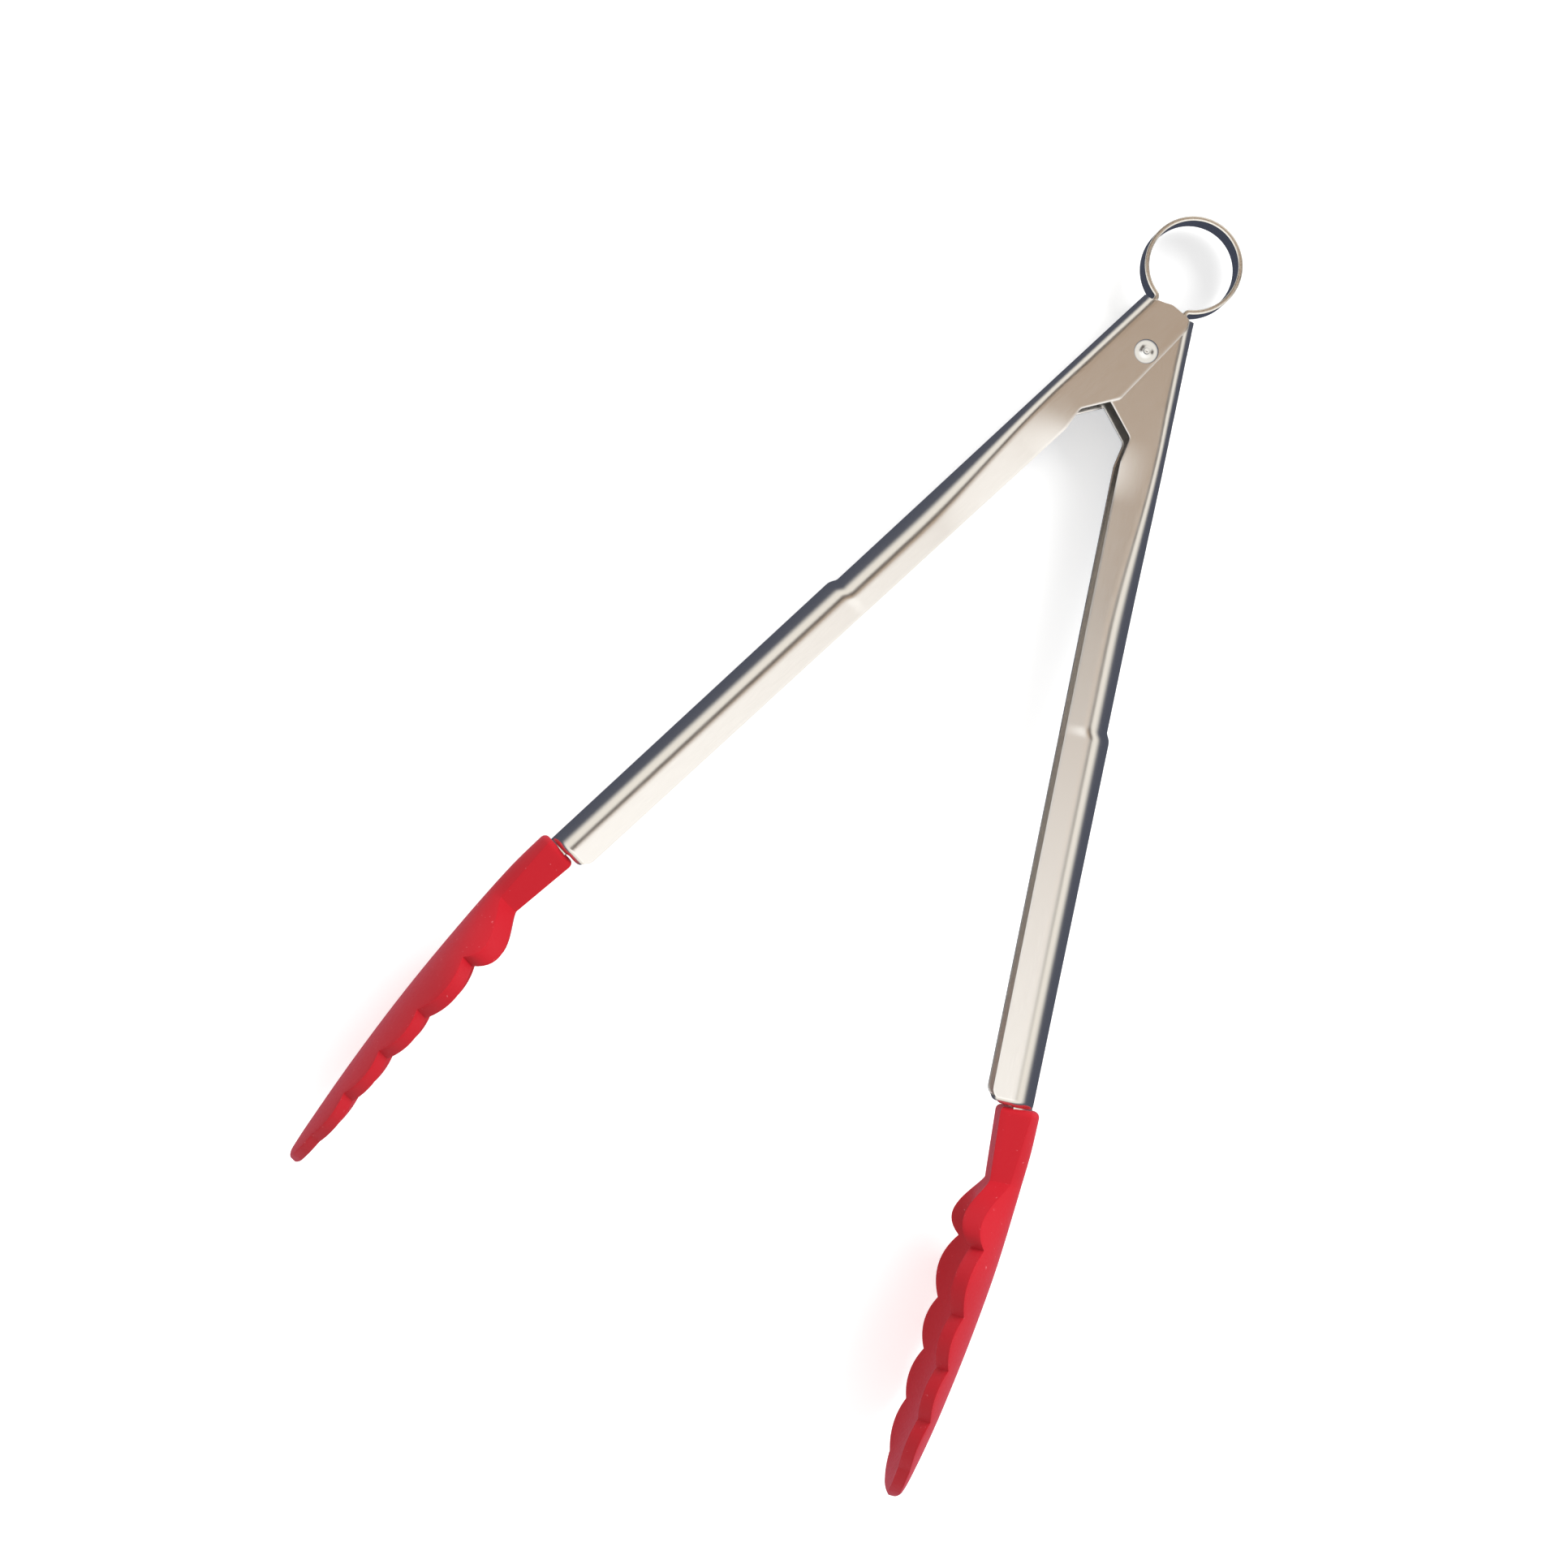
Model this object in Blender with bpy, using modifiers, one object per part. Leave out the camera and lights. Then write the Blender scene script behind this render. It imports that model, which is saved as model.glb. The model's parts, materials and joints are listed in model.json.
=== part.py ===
"""Spring loaded kitchen tongs: two pressed steel arms on one rivet, a flat band spring that is also the
hanging ring, and two silicone scoops with scalloped rims.

Metres, +Z up. The rivet's axis is +Z, the ring is at +Y, and the scoops open along X. The part lies on its
side, with the middle of its box over the origin and its lowest point at Z = 0.

Each arm is drawn in its own frame, turned to the arm's place by an empty on the rivet's axis:
u runs from the rivet towards the tip, v towards the other arm, and z along the rivet.
"""

import math

import bmesh
import bpy
from mathutils import Vector

MM = 0.001

# Fits
GAP = 0.3 * MM  # left between pieces that touch or slide
HALF_OPENING = math.radians(17.65)  # from the middle line to each arm, with the tongs open

# Arms: pressed channels
SHEET = 0.8 * MM
ARM_REACH = 176.6 * MM  # rivet to the end of the flanges
ARM_WIDTH = 13.0 * MM  # inner arm all along, and the outer arm below its pivot
WEB_BACK = 9.1 * MM  # rivet's axis to the back of the web, above the step
STEP_REACH = 88.0 * MM  # rivet to the step in the web
STEP_HEIGHT = 0.9 * MM
STEP_RUN = 2.6 * MM
PIVOT_BEND = 1.9 * MM  # outer bend radius at the pivot
GRIP_BEND = 5.0 * MM  # outer bend radius along the grip
BEND_FROM = 20.0 * MM  # the bend grows from here
BEND_TO = 68.0 * MM  # to here
FLANGE_LEAN = 0.45 * MM  # how far the flanges close in towards their edges, past the ears
LEAN_TO = 36.0 * MM  # the lean grows from where the bend does to here
FLANGE_EDGE = 0.5 * MM  # flanges' edge past the arm's middle line, near the pivot
FLANGE_EDGE_END = -0.35 * MM  # and at the end of the grip
FLANGE_CORNER = 2.8 * MM

# Ears: the flanges round the rivet
EAR_CLEARANCE = 0.5 * MM  # inner arm's ears to the bend of the outer arm
EAR_TOP = 12.5 * MM  # rivet to the top of the ear
EAR_SHOULDER = 11.9 * MM
EAR_SHOULDER_BACK = 3.7 * MM
EAR_SIDE = 2.9 * MM  # how far the ear reaches past the rivet towards the other arm
LOBE_REACH = 11.9 * MM
LOBE_SIDE = 4.1 * MM
INNER_LOBE_SIDE = 6.6 * MM  # the inner arm's ears reach on into the outer arm
WAIST_REACH = 20.3 * MM
WAIST_DIP = 0.6 * MM
WAIST_END = 26.0 * MM
WEB_TOP = 9.2 * MM  # rivet to the top edge of the web

# Tongues: the webs run on into the heads
TONGUE_LENGTH = 20.0 * MM
TONGUE_WIDTH = 9.6 * MM
TONGUE_BEND = 4.2 * MM
TONGUE_DEPTH = 2.7 * MM  # of the channel's back that goes on past the flanges
TONGUE_RISE = 0.6 * MM  # how far it leans towards the other arm by its end

# Rivet
SHANK_RADIUS = 2.0 * MM
RIVET_HEAD_RADIUS = 3.2 * MM
RIVET_HEAD_HEIGHT = 1.3 * MM
DIMPLE_RADIUS = 0.8 * MM
DIMPLE_DEPTH = 0.3 * MM

# Ring spring
BAND_SHEET = 1.1 * MM
BAND_WIDTH = 9.4 * MM
RING_RADIUS = 11.5 * MM  # outside
RING_NEAR = 12.1 * MM  # from the rivet to the ring's near side
RING_CENTRE = RING_NEAR + RING_RADIUS
FOOT_BEND = 1.2 * MM  # where the ring turns into its legs, at the middle of the band
LEG_LENGTH = 17.0 * MM

# Heads
NECK_GAP = 1.1 * MM  # end of the flanges to the head
HEAD_LENGTH = 93.9 * MM
NECK_WIDTH = 12.6 * MM
SCOOP_WIDTH = 47.5 * MM  # over the crowns of the lobes
SCOOP_WALL = 3.6 * MM
RIM_INSET = 2.8 * MM  # the rim's face slopes in by this much
SHOULDER_LENGTH = 16.0 * MM  # neck's end to where the scoop is nearly at its width

# Shares of the head's length where the rim's lobes meet: neck, kink, four cusps, last cusp and tip
LOBE_ENDS = (0.0, 0.186, 0.349, 0.515, 0.649, 0.780, 0.910, 1.0)
KINK_LEAN = 1.35  # the first lobe's crown leans towards the tip: the power of its share
RIM_TOP = [v * MM for v in (-3.0, -3.9, -1.6, -0.1, 0.7, 2.4, 4.1, 4.4)]
RIM_TOP_RISE = [v * MM for v in (0.0, 3.6, 2.0, 1.4, 1.1, 0.8, 0.2)]
RIM_BOTTOM = [v * MM for v in (-10.6, -8.8, -4.6, -2.9, -1.9, -0.3, 1.6, 2.0)]
RIM_BOTTOM_RISE = [v * MM for v in (0.0, 3.1, 1.8, 1.4, 1.1, 0.8, 0.2)]
# The head's back: share of its length, and place across the arm
BACK_PLACES = ((0, -12.8), (0.12, -12.5), (0.31, -10.7), (0.52, -8.0), (0.72, -4.6), (0.92, -0.5), (1, 1.4))
BACK_LINE = [(share, v * MM) for share, v in BACK_PLACES]
# The scoop from above: share of the length past the kink, and share of the half width
PADDLE_LINE = ((0.21, 0.92), (0.42, 1.0), (0.70, 1.0))
FLARE = 3  # how sharply the scoop's walls turn up: the power of their curve

# Fineness
BEND_STEPS = 5
CORNER_STEPS = 5
HALF_STEPS = 6
LOBE_STEPS = 6
RING_STEPS = 44
TURN_STEPS = 32

STEEL = (0.62, 0.60, 0.57)
SPRING_STEEL = (0.40, 0.41, 0.44)
RIVET_STEEL = (0.72, 0.71, 0.70)
RED = (0.55, 0.012, 0.022)


def clear_scene():
    for thing in list(bpy.data.objects):
        bpy.data.objects.remove(thing, do_unlink=True)


def new_collection(name):
    group = bpy.data.collections.new(name)
    bpy.context.scene.collection.children.link(group)
    return group


def new_material(name, colour, roughness, metallic):
    material = bpy.data.materials.new(name)
    material.use_nodes = True
    shader = material.node_tree.nodes["Principled BSDF"]
    shader.inputs["Base Color"].default_value = (*colour, 1.0)
    shader.inputs["Roughness"].default_value = roughness
    shader.inputs["Metallic"].default_value = metallic
    return material


def ease(x, start, end):
    """0 before start, 1 after end, smooth between."""
    t = min(max((x - start) / (end - start), 0.0), 1.0)
    return t * t * (3 - 2 * t)


def through(points, x):
    """A smooth curve through (x, y) points, with level ends past the first and the last."""
    if x <= points[0][0]:
        return points[0][1]
    if x >= points[-1][0]:
        return points[-1][1]
    k = max(i for i in range(len(points) - 1) if points[i][0] <= x)

    def slope(i):
        low, high = points[max(i - 1, 0)], points[min(i + 1, len(points) - 1)]
        return (high[1] - low[1]) / (high[0] - low[0])

    (x0, y0), (x1, y1) = points[k], points[k + 1]
    run = x1 - x0
    t = (x - x0) / run
    return (
        (1 + 2 * t) * (1 - t) ** 2 * y0
        + t * (1 - t) ** 2 * run * slope(k)
        + t * t * (3 - 2 * t) * y1
        + t * t * (t - 1) * run * slope(k + 1)
    )


def arc(centre, radius, start, end, steps):
    """Points on an arc, from one angle to the other."""
    turns = [start + (end - start) * i / steps for i in range(steps + 1)]
    return [(centre[0] + radius * math.cos(t), centre[1] + radius * math.sin(t)) for t in turns]


def rounded(corners, steps=CORNER_STEPS):
    """A closed outline from (x, y, radius) corners, each rounded to its radius."""
    outline = []
    for i, (x, y, radius) in enumerate(corners):
        here = Vector((x, y))
        back = (Vector(corners[i - 1][:2]) - here).normalized()
        on = (Vector(corners[(i + 1) % len(corners)][:2]) - here).normalized()
        if radius <= 0:
            outline.append((x, y))
            continue
        half = back.angle(on) / 2
        centre = here + (back + on).normalized() * radius / math.sin(half)
        start = here + back * radius / math.tan(half) - centre
        end = here + on * radius / math.tan(half) - centre
        first = math.atan2(start.y, start.x)
        sweep = math.atan2(start.x * end.y - start.y * end.x, start.dot(end))
        outline += arc(centre, radius, first, first + sweep, steps)
    return outline


def new_object(name, mesh, group, material=None, parent=None):
    thing = bpy.data.objects.new(name, mesh)
    group.objects.link(thing)
    thing.parent = parent
    if material:
        mesh.materials.append(material)
        mesh.shade_smooth()
        mesh.set_sharp_from_angle(angle=math.radians(32))
    else:
        thing.hide_render = True
        thing.display_type = "WIRE"
    return thing


def loft(name, sections, side=1, closed=False):
    """A skin over sections of (u, v, z) points. Closed sections get end caps. Side -1 mirrors it across v = 0."""
    shape = bmesh.new()
    rows = [[shape.verts.new((u, side * v, z)) for u, v, z in section] for section in sections]
    count = len(rows[0])
    for row, after in zip(rows, rows[1:]):
        for j in range(count if closed else count - 1):
            k = (j + 1) % count
            shape.faces.new((row[j], row[k], after[k], after[j]))
    if closed:
        shape.faces.new(rows[0][::-1])
        shape.faces.new(rows[-1])
    if side < 0:
        bmesh.ops.reverse_faces(shape, faces=shape.faces)
    mesh = bpy.data.meshes.new(name)
    shape.to_mesh(mesh)
    shape.free()
    return mesh


def prism(name, outline, half_height, side=1):
    """An outline in the (u, v) plane, made solid from -half_height to +half_height."""
    sections = [[(u, v, z) for u, v in outline] for z in (-half_height, half_height)]
    mesh = loft(name, sections, side, closed=True)
    shape = bmesh.new()
    shape.from_mesh(mesh)
    bmesh.ops.recalc_face_normals(shape, faces=shape.faces)
    shape.to_mesh(mesh)
    shape.free()
    return mesh


def cut(thing, cutter, operation):
    modifier = thing.modifiers.new(cutter.name, "BOOLEAN")
    modifier.operation = operation
    modifier.solver = "EXACT"
    modifier.object = cutter


def turned(name, profile, group, material, parent):
    """A solid turned about Z from a profile of (radius, height) points, top to bottom."""
    shape = bmesh.new()
    verts = [shape.verts.new((radius, 0, height)) for radius, height in profile]
    for a, b in zip(verts, verts[1:]):
        shape.edges.new((a, b))
    mesh = bpy.data.meshes.new(name)
    shape.to_mesh(mesh)
    shape.free()
    thing = new_object(name, mesh, group, material, parent)
    screw = thing.modifiers.new("turn", "SCREW")
    screw.axis = "Z"
    screw.steps = TURN_STEPS
    screw.render_steps = TURN_STEPS
    screw.use_merge_vertices = True
    screw.merge_threshold = 0.00001
    screw.use_smooth_shade = True
    return thing


# The arms ------------------------------------------------------------------------------------------------

TONGUE_END = ARM_REACH + TONGUE_LENGTH
GRIP_BACK = WEB_BACK + STEP_HEIGHT
TONGUE_LINE = -GRIP_BACK + TONGUE_DEPTH
PIVOT_WIDTH_OUTER = ARM_WIDTH + 2 * (SHEET + GAP)
WIDTH_FROM = WAIST_REACH + 4 * MM
WIDTH_TO = WIDTH_FROM + 38 * MM
NECK_FROM = ARM_REACH - 0.6 * MM
NECK_TO = ARM_REACH + NECK_GAP - GAP


def channel_size(u, pivot_width):
    """(half width, bend radius, back) of the channel at u."""
    grip = ease(u, BEND_FROM, BEND_TO)
    neck = ease(u, NECK_FROM, NECK_TO)
    width = pivot_width + (ARM_WIDTH - pivot_width) * ease(u, WIDTH_FROM, WIDTH_TO)
    width += (TONGUE_WIDTH - width) * neck
    bend = PIVOT_BEND + (GRIP_BEND - PIVOT_BEND) * grip
    bend += (TONGUE_BEND - bend) * neck
    back = WEB_BACK + STEP_HEIGHT * ease(u, STEP_REACH, STEP_REACH + STEP_RUN)
    back -= TONGUE_RISE * ease(u, NECK_TO, TONGUE_END)
    return width / 2, bend, back


def half_bend(u, pivot_width, grow=0.0, first=math.pi / 2):
    """(v, z) points round the bend on the +z side, from the flange to the web. Grow moves them outwards."""
    half, bend, back = channel_size(u, pivot_width)
    turns = [first * (1 - i / BEND_STEPS) for i in range(BEND_STEPS + 1)]
    radius = bend + grow
    return [(bend - back - radius * math.cos(t), half - bend + radius * math.sin(t)) for t in turns]


def both_sides(half):
    return half + [(v, -z) for v, z in reversed(half)]


def channel_section(u, pivot_width):
    """The sheet's section at u, outer skin then inner, with flanges tall enough to be trimmed."""
    half, bend, back = channel_size(u, pivot_width)
    tall = INNER_LOBE_SIDE + 2 * MM
    lean = FLANGE_LEAN * ease(u, BEND_FROM, LEAN_TO)
    share = (tall + back - bend) / (FLANGE_EDGE + back - bend)
    skins = []
    for grow in (0, -SHEET):
        skins.append(both_sides([(tall, half + grow - lean * share)] + half_bend(u, pivot_width, grow)))
    return [(u, v, z) for v, z in skins[0] + skins[1][::-1]]


def channel_stations():
    pivot = [-EAR_TOP - 1 * MM, BEND_FROM]
    grip = [BEND_FROM + (BEND_TO - BEND_FROM) * i / 6 for i in range(1, 7)]
    step = [STEP_REACH + STEP_RUN * i / 4 for i in range(5)]
    neck = [NECK_FROM + (NECK_TO - NECK_FROM) * i / 4 for i in range(5)]
    return pivot + grip + step + neck + [(NECK_TO + TONGUE_END) / 2, TONGUE_END + 1 * MM]


def ear_line(u, reach):
    """The ear's edge beside the other arm's web: v at u, for an edge at that reach from the rivet's axis."""
    opening = 2 * HALF_OPENING
    return (u * math.sin(opening) + reach) / math.cos(opening)


def arm_outline(reach, lobe_side):
    """The arm from the side. Reach is how close its ears come to the other arm's web."""
    opening = 2 * HALF_OPENING
    past = GRIP_BACK + 3 * MM
    corner = (EAR_SIDE * math.cos(opening) - reach) / math.sin(opening)
    return rounded(
        [
            (-WEB_TOP, -past, 0),
            (-WEB_TOP, -WEB_BACK + SHEET + GAP, 0),
            (-EAR_SHOULDER, -EAR_SHOULDER_BACK, 3 * MM),
            (-EAR_TOP, ear_line(-EAR_TOP, reach), 1.2 * MM),
            (corner, EAR_SIDE, 3 * MM),
            (LOBE_REACH, lobe_side, 1.6 * MM),
            (WAIST_REACH, -WAIST_DIP, 1.8 * MM),
            (WAIST_END, FLANGE_EDGE, 5 * MM),
            (ARM_REACH, FLANGE_EDGE_END, FLANGE_CORNER),
            (ARM_REACH, TONGUE_LINE, 0.5 * MM),
            (TONGUE_END, TONGUE_LINE, 1 * MM),
            (TONGUE_END, -past, 0),
        ]
    )


def make_arm(name, side, pivot_width, ear_reach, lobe_side, group, cutters, material, parent):
    sections = [channel_section(u, pivot_width) for u in channel_stations()]
    arm = new_object(name, loft(name, sections, side, closed=True), group, material, parent)
    trim = prism(name + "_trim", arm_outline(ear_reach, lobe_side), pivot_width, side)
    cut(arm, new_object(trim.name, trim, cutters, parent=parent), "INTERSECT")
    hole = arc((0, 0), SHANK_RADIUS + GAP, 0, 2 * math.pi, TURN_STEPS)[:-1]
    drill = prism(name + "_rivet_hole", hole, pivot_width, side)
    cut(arm, new_object(drill.name, drill, cutters, parent=parent), "DIFFERENCE")
    return arm


# The heads -----------------------------------------------------------------------------------------------

HEAD_START = ARM_REACH + NECK_GAP


def lobed(share, ends, rises):
    """(edge, crown line): the rim's height with its lobes, and the smooth line that joins the lobes' crowns."""
    k = max(i for i in range(len(rises)) if LOBE_ENDS[i] <= share)
    t = (share - LOBE_ENDS[k]) / (LOBE_ENDS[k + 1] - LOBE_ENDS[k])
    chord = ends[k] + (ends[k + 1] - ends[k]) * t
    middles = [(a + b) / 2 for a, b in zip(LOBE_ENDS[1:], LOBE_ENDS[2:])]
    crowns = [(LOBE_ENDS[1], 0.0)] + list(zip(middles, rises[1:]))
    lean = t**KINK_LEAN if k == 1 else t
    edge = chord + rises[k] * 4 * lean * (1 - lean)
    return edge, max(edge, chord + through(crowns, share))


def paddle_half_width(share):
    """Half the head's width at a share of its length: neck, shoulder, scoop and round tip."""
    kink = LOBE_ENDS[1]
    past = max((share - kink) / (1 - kink), 0.0)
    line = ((0.0, NECK_WIDTH / SCOOP_WIDTH),) + PADDLE_LINE
    round_from = PADDLE_LINE[-1][0]
    round_share = max(past - round_from, 0.0) / (1 - round_from)
    return through(line, past) * math.sqrt(1 - 0.99 * round_share**2) * SCOOP_WIDTH / 2


def head_section(share, squeeze=1.0):
    """One closed section of the head. Squeeze draws it towards its middle, to round the two ends."""
    kink, tip = LOBE_ENDS[1], LOBE_ENDS[-2]
    along = share * HEAD_LENGTH
    past_kink = along - kink * HEAD_LENGTH
    outer = paddle_half_width(share)
    inner = outer - min(RIM_INSET * ease(past_kink, 0, SHOULDER_LENGTH * 0.6), outer * 0.45)
    back = through(BACK_LINE, share)
    top, top_crown = lobed(share, RIM_TOP, RIM_TOP_RISE)
    bottom, bottom_crown = lobed(share, RIM_BOTTOM, RIM_BOTTOM_RISE)
    hollow = ease(past_kink, 0, SHOULDER_LENGTH) * (1 - ease(share, tip - 0.02, 0.985))
    depth = max(top - back - SCOOP_WALL, 0.0) * hollow
    floor = top - depth
    # Where the rim dips between lobes it follows the flared wall inwards, so that the wall stays smooth
    outer *= ((bottom - back) / (bottom_crown - back)) ** (1 / FLARE)
    if depth > 0:
        inner *= 1 - hollow * (1 - (depth / (top_crown - floor)) ** (1 / FLARE))
    steps = [i / HALF_STEPS for i in range(HALF_STEPS + 1)]
    under = [(back + (bottom - back) * q**FLARE, outer * q) for q in steps]
    inside = [(floor + (top - floor) * q**FLARE, inner * q) for q in reversed(steps)]
    half = under + inside
    middle = (back + top) / 2
    loop = half + [(v, -z) for v, z in half[-2:0:-1]]
    return [(HEAD_START + along, middle + (v - middle) * squeeze, z * squeeze) for v, z in loop]


def head_sections():
    sections = [head_section(0, 0.86), head_section(0.007, 0.96), head_section(0.02)]
    sections += [head_section(share) for share in (0.06, 0.12)]
    for start, end in zip(LOBE_ENDS[1:-2], LOBE_ENDS[2:-1]):
        sections += [head_section(start + (end - start) * i / LOBE_STEPS) for i in range(LOBE_STEPS)]
    last = LOBE_ENDS[-2]
    sections += [head_section(last + (1 - last) * t) for t in (0, 0.25, 0.5, 0.7, 0.85)]
    sections += [head_section(last + (1 - last) * 0.94, 0.9), head_section(1.0, 0.6)]
    return sections


def slot_section(u):
    """The tongue's section at u, grown by the gap all round."""
    half, bend, back = channel_size(u, ARM_WIDTH)
    line = TONGUE_LINE + GAP
    skins = []
    for grow in (GAP, -SHEET - GAP):
        first = math.acos((bend - back - line) / (bend + grow))
        skins.append(both_sides(half_bend(u, ARM_WIDTH, grow, first)))
    return [(u, v, z) for v, z in skins[0] + skins[1][::-1]]


def make_head(name, side, group, cutters, material, parent):
    head = new_object(name, loft(name, head_sections(), side, closed=True), group, material, parent)
    ends = [NECK_TO, (NECK_TO + TONGUE_END) / 2, TONGUE_END + GAP]
    slot = loft(name + "_slot", [slot_section(u) for u in ends], side, closed=True)
    cut(head, new_object(slot.name, slot, cutters, parent=parent), "DIFFERENCE")
    return head


# The rivet and the ring ----------------------------------------------------------------------------------


def make_rivet(group, material, parent):
    seat = PIVOT_WIDTH_OUTER / 2 + GAP
    top = seat + RIVET_HEAD_HEIGHT
    dome = arc((0, 0), 1, math.pi / 2 - 0.35, 0, 6)
    half = [(0, top - DIMPLE_DEPTH), (DIMPLE_RADIUS * 0.6, top - DIMPLE_DEPTH)]
    half += [(RIVET_HEAD_RADIUS * x, seat + RIVET_HEAD_HEIGHT * y) for x, y in dome]
    half += [(SHANK_RADIUS, seat)]
    profile = half + [(radius, -height) for radius, height in reversed(half)]
    return turned("pivot_rivet", profile, group, material, parent)


def ring_path():
    """The middle line of the band, from one leg's end round the ring to the other's, about the rivet."""
    turn = HALF_OPENING
    middle = RING_RADIUS - BAND_SHEET / 2
    leg = -WEB_BACK + SHEET + GAP + BAND_SHEET / 2
    u_ring, v_ring = -RING_CENTRE * math.cos(turn), -RING_CENTRE * math.sin(turn)
    v_foot = leg - FOOT_BEND
    u_foot = u_ring + math.sqrt((middle + FOOT_BEND) ** 2 - (v_foot - v_ring) ** 2)
    towards = math.atan2(v_ring - v_foot, u_ring - u_foot)
    if towards < 0:
        towards += 2 * math.pi
    half = [(u_foot + LEG_LENGTH, leg)] + arc((u_foot, v_foot), FOOT_BEND, math.pi / 2, towards, 7)
    u_axis, v_axis = Vector((-math.sin(turn), -math.cos(turn))), Vector((math.cos(turn), -math.sin(turn)))
    left = [u_axis * u + v_axis * v for u, v in half]
    start = left[-1] - Vector((0, RING_CENTRE))
    first = math.atan2(start.y, start.x)
    if first > 0:
        first -= 2 * math.pi
    ring = arc((0, RING_CENTRE), middle, first, -3 * math.pi - first, RING_STEPS)
    right = [(-point.x, point.y) for point in reversed(left)]
    return [tuple(point) for point in left[:-1]] + ring + right[1:]


def make_ring(group, material, parent):
    path = ring_path()
    sections = [[(x, y, z) for z in (BAND_WIDTH / 2, -BAND_WIDTH / 2)] for x, y in path]
    ring = new_object("ring_spring", loft("ring_spring", sections), group, material, parent)
    band = ring.modifiers.new("sheet", "SOLIDIFY")
    band.thickness = BAND_SHEET
    band.offset = 0
    band.use_even_offset = True
    return ring


# The whole -----------------------------------------------------------------------------------------------


def new_empty(name, group, parent=None):
    empty = bpy.data.objects.new(name, None)
    empty.empty_display_size = 0.01
    group.objects.link(empty)
    empty.parent = parent
    return empty


def rest_on_origin(rivet_axis, group):
    """Moves everything, by its one root, so that the box stands on the origin."""
    bpy.context.view_layer.update()
    depsgraph = bpy.context.evaluated_depsgraph_get()
    points = []
    for thing in group.objects:
        if thing.type == "MESH":
            shown = thing.evaluated_get(depsgraph)
            points += [thing.matrix_world @ vert.co for vert in shown.data.vertices]
    low = Vector([min(point[i] for point in points) for i in range(3)])
    high = Vector([max(point[i] for point in points) for i in range(3)])
    middle = (low + high) / 2
    rivet_axis.location = (-middle.x, -middle.y, -low.z)
    bpy.context.view_layer.update()


def main():
    clear_scene()
    group = new_collection("kitchen_tongs")
    cutters = new_collection("cutters")
    steel = new_material("arm_steel", STEEL, 0.32, 1.0)
    spring = new_material("ring_steel", SPRING_STEEL, 0.3, 1.0)
    bright = new_material("rivet_steel", RIVET_STEEL, 0.2, 1.0)
    red = new_material("red_silicone", RED, 0.55, 0.0)

    rivet_axis = new_empty("rivet_axis", group)
    outer = new_empty("outer_arm_frame", group, rivet_axis)
    inner = new_empty("inner_arm_frame", group, rivet_axis)
    outer.rotation_euler.z = -math.pi / 2 - HALF_OPENING
    inner.rotation_euler.z = -math.pi / 2 + HALF_OPENING

    inside_bend = PIVOT_BEND - SHEET
    bend_clear = math.sqrt(inside_bend**2 - (inside_bend - GAP) ** 2)
    inner_reach = WEB_BACK - PIVOT_BEND + bend_clear - EAR_CLEARANCE
    outer_reach = WEB_BACK - SHEET
    make_arm("outer_arm", 1, PIVOT_WIDTH_OUTER, outer_reach, LOBE_SIDE, group, cutters, steel, outer)
    make_arm("inner_arm", -1, ARM_WIDTH, inner_reach, INNER_LOBE_SIDE, group, cutters, steel, inner)
    make_head("outer_head", 1, group, cutters, red, outer)
    make_head("inner_head", -1, group, cutters, red, inner)
    make_rivet(group, bright, rivet_axis)
    make_ring(group, spring, rivet_axis)
    rest_on_origin(rivet_axis, group)
    print("rivet at", tuple(round(value, 6) for value in rivet_axis.location))


main()
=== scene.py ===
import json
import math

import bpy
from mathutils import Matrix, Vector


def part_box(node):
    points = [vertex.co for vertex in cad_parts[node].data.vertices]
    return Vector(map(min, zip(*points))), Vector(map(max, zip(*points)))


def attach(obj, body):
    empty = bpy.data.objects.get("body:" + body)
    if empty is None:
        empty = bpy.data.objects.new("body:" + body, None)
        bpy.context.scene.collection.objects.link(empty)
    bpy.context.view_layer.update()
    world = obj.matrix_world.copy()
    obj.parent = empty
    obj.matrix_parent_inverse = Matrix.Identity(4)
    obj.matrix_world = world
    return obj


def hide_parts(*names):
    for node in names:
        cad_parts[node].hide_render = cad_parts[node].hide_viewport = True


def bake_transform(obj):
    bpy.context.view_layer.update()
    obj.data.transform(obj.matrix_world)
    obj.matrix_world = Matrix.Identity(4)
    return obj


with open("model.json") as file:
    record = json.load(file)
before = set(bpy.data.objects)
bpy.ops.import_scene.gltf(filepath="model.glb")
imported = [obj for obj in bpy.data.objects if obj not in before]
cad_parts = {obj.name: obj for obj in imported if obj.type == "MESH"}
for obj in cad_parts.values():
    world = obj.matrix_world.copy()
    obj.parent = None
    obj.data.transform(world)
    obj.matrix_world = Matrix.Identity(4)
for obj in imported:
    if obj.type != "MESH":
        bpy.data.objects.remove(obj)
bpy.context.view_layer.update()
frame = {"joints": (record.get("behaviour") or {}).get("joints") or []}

# %% [markdown]
# # Spring loaded kitchen tongs
# The frame holds the plain solids of the tongs, each on the body that it moves with: one arm, head, rivet and ring
# on the outer side, and the other arm and head on the inner side. This lesson replaces each solid by a finer piece
# of the same size, gives it a finish, and lays the whole on a pale floor.

MM = 0.001
RIVET = Vector(frame["joints"][0]["pos_m"])
print("rivet at", tuple(round(v, 5) for v in RIVET))

# %% [markdown]
# ## Sizes
# Each arm is easiest to think of in its own frame: u runs from the rivet towards the tip, v towards the other
# arm, and z along the rivet. The sizes that show in the plain solids are measured from their boxes, and the rest
# are written here once.

# %% Sizes measured from the plain solids, and the rest
def extent(node, axis):
    low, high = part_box(node)
    return high[axis] - low[axis]


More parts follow.
